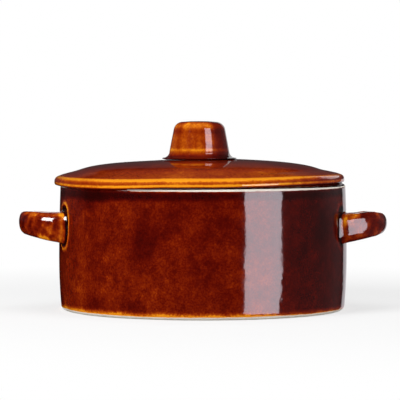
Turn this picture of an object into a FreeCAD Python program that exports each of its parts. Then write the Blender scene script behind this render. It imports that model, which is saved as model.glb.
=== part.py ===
"""Stoneware bean pot: a low round pot with two strap handles and a loose lid with a knob.

The origin is the centre of the ring that the pot stands on. +Z is up and +X runs through the
right handle. All sizes are in millimetres.
"""

import FreeCAD, Part
import math
import os
import Sketcher
from FreeCAD import Rotation, Vector

SIZES = {
    # Pot: outer wall, a shallow barrel
    "pot_height": 96.0,
    "base_radius": 108.3,
    "belly_radius": 110.2,
    "belly_height": 40.0,
    "rim_radius": 109.0,
    "base_round": 4.0,
    "rim_outer_round": 2.5,
    # Pot: inside and foot
    "wall_thickness": 7.0,
    "floor_thickness": 8.0,
    "floor_round": 9.0,
    "rim_inner_round": 2.0,
    "foot_width": 11.0,
    "foot_recess": 1.5,
    # Handles: an oval loop seen from above, its strap deeper at the wall than at its tip. The
    # oval's centre lies inside the belly by the sink, and its top lies below the rim by the drop
    "handle_sink": 16.2,
    "handle_reach": 47.1,
    "handle_half_width": 37.0,
    "handle_drop": 20.2,
    "strap_thickness": 12.6,
    "strap_height_at_tip": 17.1,
    "strap_height_at_centre": 26.2,
    "strap_squareness": 2.7,
    "root_flare": 4.0,
    "root_flare_reach": 7.0,
    # Lid: heights are above the seat on the rim
    "lid_radius": 111.0,
    "lid_shift": 2.8,
    "lid_edge_lift": 1.0,
    "lid_edge_height": 5.4,
    "lid_edge_top_round": 4.0,
    "lid_edge_bottom_round": 1.4,
    "lip_radius": 100.0,
    "lip_height": 9.2,
    "brim_radius": 92.0,
    "brim_height": 11.4,
    "shoulder_radius": 70.0,
    "shoulder_height": 15.9,
    "crown_height": 18.7,
    "lid_thickness": 6.5,
    # Lid: the flat that seats on the rim, and the flange that keeps the lid in place
    "seat_radius": 107.6,
    "flange_play": 3.1,
    "flange_depth": 9.0,
    "flange_thickness": 6.0,
    "flange_round": 2.0,
    "flange_root_round": 4.0,
    # Knob: heights are above the lid's crown
    "knob_height": 29.3,
    "knob_edge_height": 28.3,
    "knob_edge_radius": 18.8,
    "knob_edge_round": 7.0,
    "knob_waist_radius": 23.0,
    "knob_waist_height": 6.0,
    "knob_base_radius": 28.5,
    "knob_base_lip": 0.5,
    "knob_hollow_radius": 12.5,
    "knob_hollow_height": 20.0,
    "knob_hollow_round": 4.0,
    "vent_radius": 1.5,
}

# Sizes that follow from those
FOOT_INSIDE = "Sizes.base_radius - Sizes.base_round - Sizes.foot_width"
INNER_RIM = "Sizes.rim_radius - Sizes.wall_thickness"
INNER_BASE = "Sizes.base_radius - Sizes.wall_thickness"
FLANGE_RADIUS = "Sizes.rim_radius - Sizes.wall_thickness - Sizes.flange_play"
FLANGE_INSIDE = "Sizes.rim_radius - Sizes.wall_thickness - Sizes.flange_play - Sizes.flange_thickness"

# Outer wall of the pot, from its foot to its rim
OUTER_WALL = [
    ("line", "Sizes.base_radius", "0"),
    ("rise", "Sizes.belly_radius", "Sizes.belly_height"),
    ("fall", "Sizes.rim_radius", "Sizes.pot_height"),
]

# How finely a handle's form is laid out: degrees between sections, and points on each
SECTION_SPACING = 5
SECTIONS_EACH_SIDE = 17
SECTION_POINTS = 24

# How near an edge has to be to its corner to be picked
NEAR = 0.01


def above_flange(size):
    """A height above the lid's seat, counted from the bottom of its flange."""
    return f"Sizes.flange_depth + {size}"


def make_sizes(doc):
    """The sheet of driving sizes, one alias for each."""
    sheet = doc.addObject("Spreadsheet::Sheet", "Sizes")
    for row, (name, size) in enumerate(SIZES.items(), 1):
        sheet.set(f"A{row}", name)
        sheet.set(f"B{row}", str(size))
        sheet.setAlias(f"B{row}", name)
    doc.recompute()
    return sheet


def origin_plane(body, role):
    """One of the body's own origin planes."""
    for feature in body.Origin.OriginFeatures:
        if feature.Role == role:
            return feature
    raise ValueError(f"{body.Name} has no {role}")


def place_point(sketch, sheet, line, end, across, up):
    """Holds one end of a line or arc at its distances from the sketch's origin."""
    for kind, axis, size in (("DistanceX", -2, across), ("DistanceY", -1, up)):
        if size == "0":
            sketch.addConstraint(Sketcher.Constraint("PointOnObject", line, end, axis))
            continue
        value = sheet.evalExpression(size)
        number = sketch.addConstraint(Sketcher.Constraint(kind, -1, 1, line, end, value))
        sketch.setExpression(f"Constraints[{number}]", size)


def arc_centre(kind, start, finish, heading):
    """Where an arc's centre lies, for each kind of arc in an outline."""
    chord = finish - start
    if kind == "crown":
        squares = finish.x**2 + finish.y**2 - start.x**2 - start.y**2
        return Vector(0, squares / (2 * chord.y), 0)
    if kind == "smooth":
        normal = Vector(-heading.y, heading.x, 0).normalize()
        return start + normal * (chord.dot(chord) / (2 * chord.dot(normal)))
    upright, other = (finish, start) if kind == "rise" else (start, finish)
    squares = other.x**2 - upright.x**2 + chord.y**2
    return Vector(squares / (2 * (other.x - upright.x)), upright.y, 0)


def add_arc(sketch, start, finish, centre):
    """Adds an arc of less than half a turn. Returns its number, first end, last end and heading."""
    spokes = (start - centre, finish - centre)
    leftward = spokes[0].cross(spokes[1]).z > 0
    angles = [math.atan2(spoke.y, spoke.x) for spoke in spokes]
    if not leftward:
        angles.reverse()
    circle = Part.Circle(centre, Vector(0, 0, 1), spokes[0].Length)
    number = sketch.addGeometry(Part.ArcOfCircle(circle, *angles))
    heading = Vector(-spokes[1].y, spokes[1].x, 0) * (1 if leftward else -1)
    ends = (1, 2) if leftward else (2, 1)
    return number, *ends, heading


def half_section(body, sheet, name, corners):
    """A closed half section on the body's XZ plane.

    Each corner is a kind, a distance from the axis and a height. The kind says how the outline
    reaches the corner: line, crown (an arc centred on the axis), rise (an arc that is upright
    where it ends), fall (an arc that is upright where it starts) or smooth (an arc that carries
    on from the stretch before).
    """
    sketch = body.newObject("Sketcher::SketchObject", name)
    sketch.AttachmentSupport = [(origin_plane(body, "XZ_Plane"), "")]
    sketch.MapMode = "FlatFace"
    points = [Vector(*(sheet.evalExpression(size) for size in corner[1:]), 0) for corner in corners]
    pieces = []
    heading = None
    for place, (kind, across, up) in enumerate(corners):
        start, finish = points[place - 1], points[place]
        if kind == "line":
            number, first, last = sketch.addGeometry(Part.LineSegment(start, finish)), 1, 2
            heading = finish - start
        else:
            centre = arc_centre(kind, start, finish, heading)
            number, first, last, heading = add_arc(sketch, start, finish, centre)
        pieces.append((number, first, last))
    for place, (kind, across, up) in enumerate(corners):
        number, first, last = pieces[place]
        before, _, before_end = pieces[place - 1]
        link = "Tangent" if kind == "smooth" else "Coincident"
        sketch.addConstraint(Sketcher.Constraint(link, before, before_end, number, first))
        place_point(sketch, sheet, number, last, across, up)
        if kind == "crown":
            sketch.addConstraint(Sketcher.Constraint("PointOnObject", number, 3, -2))
        elif kind in ("rise", "fall"):
            upright = last if kind == "rise" else first
            sketch.addConstraint(Sketcher.Constraint("Horizontal", number, 3, number, upright))
    return sketch


def revolve(doc, sheet, label, corners):
    """A body turned from its half section."""
    body = doc.addObject("PartDesign::Body", label)
    body.Label = label
    sketch = half_section(body, sheet, f"{label}_section", corners)
    turned = body.newObject("PartDesign::Revolution", f"{label}_turned")
    turned.Profile = sketch
    turned.ReferenceAxis = (sketch, ["V_Axis"])
    turned.Angle = 360
    doc.recompute()
    return body


def round_edges(doc, body, name, size, wanted):
    """Rounds the edges of a body's last feature that a test picks."""
    feature = body.Tip
    edges = [f"Edge{n}" for n, edge in enumerate(feature.Shape.Edges, 1) if wanted(edge)]
    if not edges:
        raise ValueError(f"{name} finds no edge")
    fillet = body.newObject("PartDesign::Fillet", name)
    fillet.Base = (feature, edges)
    fillet.setExpression("Radius", f"Sizes.{size}")
    doc.recompute()


def ring_at(sheet, across, up):
    """A test for the round edge at a distance from the axis and a height."""
    radius, height = sheet.evalExpression(across), sheet.evalExpression(up)

    def wanted(edge):
        box = edge.BoundBox
        level = max(abs(box.ZMax - height), abs(box.ZMin - height)) < NEAR
        return level and abs(box.XMax - radius) < NEAR and abs(box.XMin + radius) < NEAR

    return wanted


def make_pot(doc, sheet):
    """The pot: barrel wall, flat floor, and a shallow recess that leaves a ring to stand on."""
    body = revolve(doc, sheet, "pot_body", [
        ("line", "0", "Sizes.foot_recess"),
        ("line", FOOT_INSIDE, "Sizes.foot_recess"),
        ("line", FOOT_INSIDE, "0"),
        *OUTER_WALL,
        ("line", INNER_RIM, "Sizes.pot_height"),
        ("rise", "Sizes.belly_radius - Sizes.wall_thickness", "Sizes.belly_height"),
        ("fall", INNER_BASE, "Sizes.floor_thickness"),
        ("line", "0", "Sizes.floor_thickness"),
    ])
    round_edges(doc, body, "base_edge", "base_round", ring_at(sheet, "Sizes.base_radius", "0"))
    rim_outside = ring_at(sheet, "Sizes.rim_radius", "Sizes.pot_height")
    round_edges(doc, body, "rim_outer_edge", "rim_outer_round", rim_outside)
    rim_inside = ring_at(sheet, INNER_RIM, "Sizes.pot_height")
    round_edges(doc, body, "rim_inner_edge", "rim_inner_round", rim_inside)
    round_edges(doc, body, "floor_edge", "floor_round", ring_at(sheet, INNER_BASE, "Sizes.floor_thickness"))
    return body


def strap_section(sheet, turn):
    """One cross section of a handle, a turn in degrees round its oval from the tip.

    The section is a square-shouldered oval that stands upright. It gets deeper towards the pot
    and flares where it meets the wall.
    """
    half_thickness = sheet.strap_thickness / 2
    reach = sheet.handle_reach - half_thickness
    half_width = sheet.handle_half_width - half_thickness
    centre = sheet.belly_radius - sheet.handle_sink
    angle = math.radians(turn)
    middle = Vector(centre + reach * math.cos(angle), half_width * math.sin(angle), 0)
    outward = Vector(half_width * math.cos(angle), reach * math.sin(angle), 0).normalize()
    share = (middle.x - centre) / sheet.handle_reach
    height = (1 - share) * sheet.strap_height_at_centre + share * sheet.strap_height_at_tip
    gap = middle.Length - sheet.belly_radius
    nearness = min(1, max(0, 1 - gap / sheet.root_flare_reach))
    flare = sheet.root_flare * nearness**2
    middle.z = sheet.pot_height - sheet.handle_drop - height / 2
    points = []
    for step in range(SECTION_POINTS):
        around = 2 * math.pi * step / SECTION_POINTS
        across, up = (
            math.copysign(abs(part) ** (2 / sheet.strap_squareness), part)
            for part in (math.cos(around), math.sin(around))
        )
        side = outward * (half_thickness + flare) * across
        points.append(middle + side + Vector(0, 0, (height / 2 + flare) * up))
    outline = Part.BSplineCurve()
    outline.interpolate(points, PeriodicFlag=True)
    return Part.Wire(outline.toShape())


def make_handle(doc, sheet, label, pot_form, turn):
    """A strap handle: an oval loop seen from above, its roots cut to the wall's own shape."""
    strap = doc.addObject("Part::Feature", f"{label}_strap")
    turns = [SECTION_SPACING * n for n in range(-SECTIONS_EACH_SIDE, SECTIONS_EACH_SIDE + 1)]
    strap.Shape = Part.makeLoft([strap_section(sheet, each) for each in turns], True)
    handle = doc.addObject("Part::Cut", label)
    handle.Label = label
    handle.Base = strap
    handle.Tool = pot_form
    handle.Placement = FreeCAD.Placement(Vector(0, 0, 0), Rotation(Vector(0, 0, 1), turn))
    doc.recompute()
    return handle


def make_lid(doc, sheet):
    """The lid: a shallow dome with a rolled edge and a flange that drops inside the rim."""
    body = revolve(doc, sheet, "lid", [
        ("line", "Sizes.vent_radius", above_flange("Sizes.crown_height")),
        ("line", "Sizes.knob_base_radius", above_flange("Sizes.crown_height")),
        ("crown", "Sizes.shoulder_radius", above_flange("Sizes.shoulder_height")),
        ("smooth", "Sizes.brim_radius", above_flange("Sizes.brim_height")),
        ("smooth", "Sizes.lip_radius", above_flange("Sizes.lip_height")),
        ("smooth", "Sizes.lid_radius", above_flange("Sizes.lid_edge_height")),
        ("line", "Sizes.lid_radius", above_flange("Sizes.lid_edge_lift")),
        ("line", "Sizes.seat_radius", "Sizes.flange_depth"),
        ("line", FLANGE_RADIUS, "Sizes.flange_depth"),
        ("line", FLANGE_RADIUS, "0"),
        ("line", FLANGE_INSIDE, "0"),
        ("line", FLANGE_INSIDE, above_flange("Sizes.brim_height - Sizes.lid_thickness")),
        ("line", "Sizes.shoulder_radius", above_flange("Sizes.shoulder_height - Sizes.lid_thickness")),
        ("crown", "Sizes.vent_radius", above_flange("Sizes.crown_height - Sizes.lid_thickness")),
    ])
    edge_top = ring_at(sheet, "Sizes.lid_radius", above_flange("Sizes.lid_edge_height"))
    round_edges(doc, body, "lid_edge_top", "lid_edge_top_round", edge_top)
    edge_bottom = ring_at(sheet, "Sizes.lid_radius", above_flange("Sizes.lid_edge_lift"))
    round_edges(doc, body, "lid_edge_bottom", "lid_edge_bottom_round", edge_bottom)
    round_edges(doc, body, "flange_outer_edge", "flange_round", ring_at(sheet, FLANGE_RADIUS, "0"))
    round_edges(doc, body, "flange_inner_edge", "flange_round", ring_at(sheet, FLANGE_INSIDE, "0"))
    flange_root = ring_at(sheet, FLANGE_INSIDE, above_flange("Sizes.brim_height - Sizes.lid_thickness"))
    round_edges(doc, body, "flange_root", "flange_root_round", flange_root)
    body.setExpression("Placement.Base.x", "-Sizes.lid_shift")
    body.setExpression("Placement.Base.z", "Sizes.pot_height - Sizes.flange_depth")
    return body


def make_knob(doc, sheet):
    """The knob: a hollow tapered cap with a rounded top, flared where it joins the lid."""
    body = revolve(doc, sheet, "lid_knob", [
        ("line", "Sizes.knob_hollow_radius", "0"),
        ("line", "Sizes.knob_base_radius", "0"),
        ("line", "Sizes.knob_base_radius", "Sizes.knob_base_lip"),
        ("rise", "Sizes.knob_waist_radius", "Sizes.knob_waist_height"),
        ("line", "Sizes.knob_edge_radius", "Sizes.knob_edge_height"),
        ("crown", "0", "Sizes.knob_height"),
        ("line", "0", "Sizes.knob_hollow_height"),
        ("line", "Sizes.knob_hollow_radius", "Sizes.knob_hollow_height"),
    ])
    edge = ring_at(sheet, "Sizes.knob_edge_radius", "Sizes.knob_edge_height")
    round_edges(doc, body, "knob_edge", "knob_edge_round", edge)
    hollow = ring_at(sheet, "Sizes.knob_hollow_radius", "Sizes.knob_hollow_height")
    round_edges(doc, body, "knob_hollow_edge", "knob_hollow_round", hollow)
    body.setExpression("Placement.Base.x", "-Sizes.lid_shift")
    body.setExpression("Placement.Base.z", "Sizes.pot_height + Sizes.crown_height")
    return body


def check(doc, parts):
    """Stops if anything failed or a piece is not one sound solid."""
    for item in doc.Objects:
        if "Invalid" in item.State or "Error" in item.State:
            raise RuntimeError(f"{item.Name} failed: {item.State}")
    for part in parts:
        shape = part.Shape
        if shape.isNull() or not shape.isValid() or len(shape.Solids) != 1:
            raise RuntimeError(f"{part.Label} is not one sound solid")


def main():
    doc = FreeCAD.newDocument("bean_pot")
    sheet = make_sizes(doc)
    pot_form = revolve(doc, sheet, "pot_form", [
        ("line", "0", "0"),
        *OUTER_WALL,
        ("line", "0", "Sizes.pot_height"),
    ])
    parts = [
        make_pot(doc, sheet),
        make_handle(doc, sheet, "handle_right", pot_form, 0),
        make_handle(doc, sheet, "handle_left", pot_form, 180),
        make_lid(doc, sheet),
        make_knob(doc, sheet),
    ]
    doc.recompute()
    check(doc, parts)
    os.makedirs("parts", exist_ok=True)
    for part in parts:
        part.Shape.exportStep(f"parts/{part.Label}.step")
        print(part.Label, round(part.Shape.Volume / 1000, 1), "cm3")


main()
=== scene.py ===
"""Dresses the stoneware bean pot: its treacle glaze, bare clay and hand-made surface, in a plain studio."""

import math
from collections import namedtuple

import bmesh
import bpy
import numpy as np
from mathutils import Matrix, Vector


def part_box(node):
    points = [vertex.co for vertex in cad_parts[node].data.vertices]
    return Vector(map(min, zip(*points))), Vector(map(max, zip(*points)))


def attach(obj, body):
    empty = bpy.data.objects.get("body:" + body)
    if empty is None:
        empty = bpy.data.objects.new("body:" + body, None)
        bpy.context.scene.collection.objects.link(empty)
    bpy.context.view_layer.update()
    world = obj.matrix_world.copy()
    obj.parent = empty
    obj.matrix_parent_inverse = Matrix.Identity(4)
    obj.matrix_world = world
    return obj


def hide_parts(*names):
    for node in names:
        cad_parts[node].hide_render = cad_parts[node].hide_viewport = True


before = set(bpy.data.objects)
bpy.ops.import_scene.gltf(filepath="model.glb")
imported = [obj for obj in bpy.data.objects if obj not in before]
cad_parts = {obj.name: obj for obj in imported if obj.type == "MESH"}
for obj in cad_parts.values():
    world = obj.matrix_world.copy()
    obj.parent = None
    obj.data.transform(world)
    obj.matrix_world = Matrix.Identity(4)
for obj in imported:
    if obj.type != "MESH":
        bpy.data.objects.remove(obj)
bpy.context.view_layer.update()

bl_info = {
    "name": "Stoneware Bean Pot",
    "version": (1, 0, 0),
    "blender": (4, 5, 0),
    "location": "View3D > Sidebar > Bean Pot",
    "description": "Adds a glazed stoneware bean pot with strap handles, a loose lid and its knob",
    "category": "Add Mesh",
}

POT_LOW, POT_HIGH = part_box("pot_body")
HANDLE_LOW, HANDLE_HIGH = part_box("handle_right")
LID_LOW, LID_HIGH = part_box("lid")
KNOB_LOW, KNOB_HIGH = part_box("lid_knob")

MM = 0.001

# Names of what the glaze reads from each mesh: how deep it lies, with painted shade added as extra depth,
# and how far inside bare clay a point is, in metres, with a painted highlight and painted shade in it too
GLAZE_DEPTH_AND_SHADE = "glaze_depth_and_shade"
BARE_CLAY_AND_PAINTED_LIGHT = "bare_clay_and_painted_light"

# What the second says far inside bare clay, and far from it
ALL_BARE = 0.001
NONE_BARE = -1.0

# Glaze depth has no unit: each 1 takes away about two thirds of the red and most of the green.
# The deepest glaze that has a colour of its own, and how many colours lead to it
DEEPEST = 5.5
DEPTH_STEPS = 16

# Corners in each ring of the pot and the lid, and of the knob, and how far apart the rings lie at most
ROUND_STEPS = 400
ROUND_SPACING = 0.0016
KNOB_STEPS = 180
KNOB_SPACING = 0.0008


def length(name, description, default):
    """A size in metres that a user may change."""
    return bpy.props.FloatProperty(
        name=name,
        description=description,
        default=default,
        min=0.0,
        precision=4,
        unit="LENGTH",
        subtype="DISTANCE",
    )


def rightward(name, description, default):
    """A distance to the right in metres that a user may change. It may be below zero."""
    return bpy.props.FloatProperty(
        name=name, description=description, default=default, precision=4, unit="LENGTH", subtype="DISTANCE"
    )


def share(name, description, default):
    """A plain number that a user may change."""
    return bpy.props.FloatProperty(name=name, description=description, default=default, min=0.0)


def tint(name, description, default):
    """A colour that a user may change."""
    return bpy.props.FloatVectorProperty(
        name=name, description=description, default=default, size=3, min=0.0, max=1.0, subtype="COLOR"
    )


class GlazeSettings(bpy.types.PropertyGroup):
    """The amber glaze and the clay under it"""

    thin: tint("Thin glaze", "Colour where the glaze breaks thin over an edge", (0.93, 0.33, 0.010))
    soaks_up: bpy.props.FloatVectorProperty(
        name="Soaks up",
        description="How fast each unit of glaze depth takes away red, green and blue",
        default=(1.0, 2.15, 2.2),
        size=3,
        min=0.0,
    )
    deep: tint("Deep glaze", "What is left of the colour where the glaze pools", (0.0085, 0.0014, 0.0011))
    clay: tint("Clay", "Bare fired clay", (0.95, 0.89, 0.79))
    clay_speck: tint("Clay speck", "Sandy specks in the bare clay", (0.50, 0.40, 0.30))
    gloss: share("Roughness", "Roughness of the fired glaze", 0.07)
    peel: length("Waviness", "Height of the waves that the glaze sets in", 0.00030)


class PotSettings(bpy.types.PropertyGroup):
    """The thrown pot"""

    height: length("Height", "Height of the rim", POT_HIGH.z)
    belly_radius: length("Belly radius", "Radius where the wall is widest", POT_HIGH.x)
    belly_height: length("Belly height", "Height of the widest place", 0.040)
    base_radius: length("Base radius", "Radius of the wall at the base", 0.1083)
    rim_radius: length("Rim radius", "Outer radius of the rim", 0.1090)
    wall: length("Wall", "Thickness of the wall", 0.007)
    floor: length("Floor", "Height of the floor inside", 0.008)
    floor_round: length("Floor round", "Radius between floor and wall inside", 0.009)
    base_round: length("Base round", "Radius of the outer edge of the base", 0.004)
    rim_outer_round: length("Rim outer round", "Radius of the rim's outer edge", 0.0025)
    rim_inner_round: length("Rim inner round", "Radius of the rim's inner edge", 0.002)
    foot_width: length("Foot width", "Width of the ring that the pot stands on", 0.011)
    foot_recess: length("Foot recess", "Height of the recess inside the foot ring", 0.0015)
    bare_rim: length("Bare rim", "Height of the clay left bare under the rim", 0.0025)
    bare_foot: length("Bare foot", "Height of the clay left bare above the foot", 0.0022)
    glaze: share("Glaze depth", "How deep the glaze lies on the wall", 2.0)


class HandleSettings(bpy.types.PropertyGroup):
    """The two strap handles"""

    centre: length("Centre", "Distance of the oval loop's centre from the pot's axis", 0.094)
    reach: length("Reach", "Length of the loop from its centre to its tip", HANDLE_HIGH.x - 0.094)
    half_width: length("Half width", "Half the width of the loop, seen from above", HANDLE_HIGH.y)
    top: length("Top", "Height of the strap's top", 0.0758)
    thickness: length("Thickness", "Thickness of the strap, seen from above", 0.0126)
    height_at_tip: length("Height at tip", "Height of the strap at its tip", 0.0171)
    height_at_centre: length("Height at centre", "Height of the strap level with the loop's centre", 0.0262)
    squareness: share("Squareness", "How square the strap's section is, where 2 is an oval", 2.7)
    flare: length("Flare", "How far the root spreads where it meets the wall", 0.0005)
    flare_reach: length("Flare reach", "Distance from the wall at which the root starts to spread", 0.0025)
    sag: length("Sag", "How far the far side of the loop sank in the kiln", 0.0020)
    glaze: share("Glaze depth", "How deep the glaze lies on the strap", 1.60)


class LidSettings(bpy.types.PropertyGroup):
    """The loose lid"""

    radius: length("Radius", "Outer radius of the lid", (LID_HIGH.x - LID_LOW.x) / 2)
    middle: rightward(
        "Middle", "How far to the right of the pot's axis the lid lies", (LID_HIGH.x + LID_LOW.x) / 2
    )
    seat: length("Seat height", "Height of the rim that the lid seats on", POT_HIGH.z)
    crown: length("Crown", "Height of the crown above the seat", LID_HIGH.z - POT_HIGH.z)
    edge_height: length("Edge height", "Height of the edge's upper corner above the seat", 0.0054)
    edge_lift: length("Edge lift", "Height of the edge's lower corner above the seat", 0.0006)
    edge_top_round: length("Edge top round", "Radius of the edge's upper corner", 0.004)
    edge_bottom_round: length("Edge bottom round", "Radius of the edge's lower corner", 0.0014)
    thickness: length("Thickness", "Thickness of the dome", 0.0065)
    seat_radius: length("Seat radius", "Outer radius of the flat that seats on the rim", 0.1076)
    flange_radius: length("Flange radius", "Outer radius of the flange inside the rim", 0.0989)
    flange_depth: length("Flange depth", "How far the flange drops below the seat", POT_HIGH.z - LID_LOW.z)
    flange_thickness: length("Flange thickness", "Thickness of the flange", 0.006)
    vent_radius: length("Vent radius", "Radius of the vent under the knob", 0.0015)
    glaze: share("Glaze depth", "How deep the glaze lies on the dome", 1.03)


class KnobSettings(bpy.types.PropertyGroup):
    """The hollow knob on the lid"""

    height: length("Height", "Height above the lid's crown", KNOB_HIGH.z - KNOB_LOW.z)
    base_radius: length(
        "Base radius", "Radius of the foot that is luted to the lid", (KNOB_HIGH.x - KNOB_LOW.x) / 2
    )
    waist_radius: length("Waist radius", "Radius above the flared foot", 0.023)
    waist_height: length("Waist height", "Height of the waist above the crown", 0.006)
    edge_radius: length("Edge radius", "Radius at the upper edge", 0.0188)
    edge_drop: length("Edge drop", "How far the upper edge lies below the top", 0.001)
    edge_round: length("Edge round", "Radius of the upper edge", 0.007)
    base_lip: length("Base lip", "Height of the foot's rim", 0.0011)
    base_undercut: length("Base undercut", "How far the foot's rim overhangs its seat", 0.0025)
    hollow_radius: length("Hollow radius", "Radius of the hollow inside", 0.0125)
    hollow_height: length("Hollow height", "Height of the hollow inside", 0.020)
    hollow_round: length("Hollow round", "Radius at the top of the hollow", 0.004)
    glaze: share("Glaze depth", "How deep the glaze lies on the knob", 0.90)


class StageSettings(bpy.types.PropertyGroup):
    """The studio: floor, lamps and camera"""

    floor_radius: length("Floor radius", "Radius of the round floor", 8.0)
    key: share("Key light", "Light from the left on a surface that faces it", 0.96)
    fill: share("Fill light", "Light from the right on a surface that faces it", 0.38)
    overhead: share("Overhead light", "Light from above on a level surface", 0.45)
    ambient: share("Ambient light", "Light from all round", 0.08)
    strip: share("Strip brightness", "Brightness of the tall strip box that the glaze mirrors", 7.7)
    card: share("Card brightness", "Brightness of the cards that the tops of the handles mirror", 1.6)
    lid_card: share("Lid card brightness", "Brightness of the card that the lid mirrors at its right", 1.15)
    knob_card: share("Knob card brightness", "Brightness of the card that the knob mirrors at its right", 0.8)
    window: share("Window brightness", "Brightness of the window that the left handle mirrors", 26.0)
    camera_distance: length("Camera distance", "Distance of the camera in front of the pot's axis", 1.900)
    camera_height: length("Camera height", "Height of the camera above the floor", 0.15705)
    camera_side: rightward("Camera side", "How far to the right the camera stands", -0.0023)
    camera_pitch: bpy.props.FloatProperty(
        name="Camera pitch",
        description="How far the camera looks down",
        default=math.radians(2.218),
        unit="ROTATION",
        subtype="ANGLE",
    )
    focal_length: share("Focal length", "Focal length in millimetres on a 36 mm sensor", 223.1)


class BeanPotSettings(bpy.types.PropertyGroup):
    """All the settings of the bean pot"""

    glaze: bpy.props.PointerProperty(type=GlazeSettings)
    pot: bpy.props.PointerProperty(type=PotSettings)
    handles: bpy.props.PointerProperty(type=HandleSettings)
    lid: bpy.props.PointerProperty(type=LidSettings)
    knob: bpy.props.PointerProperty(type=KnobSettings)
    stage: bpy.props.PointerProperty(type=StageSettings)


# Outlines and surfaces


def rounded(corners, spacing, closed=False):
    """Points along an outline of straight runs, at most a spacing apart.

    Each corner is (across, up, radius of its round).
    """
    points = []
    count = len(corners)
    for place, (across, up, radius) in enumerate(corners):
        here = np.array((across, up))
        inner = closed or 0 < place < count - 1
        if not (radius and inner):
            points.append(here)
            continue
        back = np.array(corners[place - 1][:2]) - here
        ahead = np.array(corners[(place + 1) % count][:2]) - here
        back /= np.linalg.norm(back)
        ahead /= np.linalg.norm(ahead)
        half = math.acos(np.clip(back @ ahead, -1, 1)) / 2
        centre = here + (back + ahead) / np.linalg.norm(back + ahead) * radius / math.sin(half)
        start = here + back * radius / math.tan(half) - centre
        swing = math.pi - 2 * half
        if start[0] * back[1] - start[1] * back[0] > 0:
            swing = -swing
        steps = max(3, math.ceil(abs(swing) / math.radians(9)))
        for angle in np.linspace(0, swing, steps + 1):
            turn = np.array(((math.cos(angle), -math.sin(angle)), (math.sin(angle), math.cos(angle))))
            points.append(centre + turn @ start)
    runs = zip(points, points[1:] + points[:1] if closed else points[1:])
    fine = []
    for start, finish in runs:
        steps = max(1, math.ceil(np.linalg.norm(finish - start) / spacing))
        fine.extend(start + (finish - start) * step / steps for step in range(steps))
    if not closed:
        fine.append(points[-1])
    return np.array(fine)


def smooth_through(points, steps):
    """A smooth curve through points, with a number of steps between each two."""
    points = np.array(points, float)
    slopes = np.gradient(points[:, 1], points[:, 0])
    curve = []
    for place in range(len(points) - 1):
        (x0, y0), (x1, y1) = points[place], points[place + 1]
        width = x1 - x0
        for step in range(steps):
            part = step / steps
            rise = y0 * (1 + 2 * part) * (1 - part) ** 2 + y1 * part**2 * (3 - 2 * part)
            bend = slopes[place] * part * (1 - part) ** 2 - slopes[place + 1] * part**2 * (1 - part)
            curve.append((x0 + width * part, rise + width * bend))
    curve.append(tuple(points[-1]))
    return curve


def band(low, high, count):
    """Faces between two rings of corners, given each ring's first corner."""
    faces = []
    for turn in range(count):
        beside = (turn + 1) % count
        faces.append((low + turn, low + beside, high + beside, high + turn))
    return faces


def cap(first, count, middle):
    """Faces that close a ring of corners to its middle, given its first corner."""
    return [(first + turn, first + (turn + 1) % count, middle) for turn in range(count)]


def turned(outline, turns, closed=False):
    """Corners and faces of a form turned from an outline.

    An outline that isn't closed starts and ends on the axis.
    """
    angles = np.linspace(0, 2 * math.pi, turns, endpoint=False)
    rings = outline if closed else outline[1:-1]
    across, up = rings[:, :1], rings[:, 1:]
    grid = np.stack(
        (across * np.cos(angles), across * np.sin(angles), np.broadcast_to(up, (len(rings), turns))), axis=-1
    )
    points = list(map(tuple, grid.reshape(-1, 3)))
    faces = []
    for ring in range(len(rings) if closed else len(rings) - 1):
        above = (ring + 1) % len(rings)
        faces.extend(band(ring * turns, above * turns, turns))
    if not closed:
        for ring, end in ((0, outline[0]), (len(rings) - 1, outline[-1])):
            points.append((0.0, 0.0, end[1]))
            faces.extend(cap(ring * turns, turns, len(points) - 1))
    return np.array(points), faces


def hand_made(points, size, reach, seed):
    """Moves points by a few slow waves, as a thrown form wanders.

    Size is a wave's length, and reach is its height.
    """
    draw = np.random.default_rng(seed)
    moved = points.copy()
    waves = 9
    for _ in range(waves):
        heading, along = draw.normal(size=(2, 3))
        heading /= np.linalg.norm(heading)
        along /= np.linalg.norm(along)
        stretch = draw.uniform(0.7, 1.5)
        phase = points @ heading * 2 * math.pi / (size * stretch) + draw.uniform(0, 2 * math.pi)
        moved += np.sin(phase)[:, None] * along * reach / math.sqrt(waves)
    return moved


def ripple(angles, size, seed, slowest=2, quickest=14):
    """An uneven line round a form: a size for each angle, made of a few waves."""
    draw = np.random.default_rng(seed)
    line = np.zeros_like(angles)
    for wave in range(slowest, quickest + 1):
        line += draw.normal() * np.sin(wave * angles + draw.uniform(0, 2 * math.pi)) / math.sqrt(wave)
    return size * line


def ramp(value, start, finish):
    """Rises smoothly from 0 at start to 1 at finish."""
    part = np.clip((value - start) / (finish - start), 0, 1)
    return part * part * (3 - 2 * part)


def between(value, rises, falls):
    """Rises smoothly to 1 and falls again. Rises and falls say where each starts and finishes."""
    return ramp(value, *rises) * (1 - ramp(value, *falls))


def bump_at(value, middle, width):
    """A soft bump of height 1 around a middle."""
    return np.exp(-(((value - middle) / width) ** 2))


def polar(points):
    """Distance of points from the axis, and their angle to the right of the front."""
    return np.hypot(points[:, 0], points[:, 1]), np.arctan2(points[:, 0], -points[:, 1])


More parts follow.
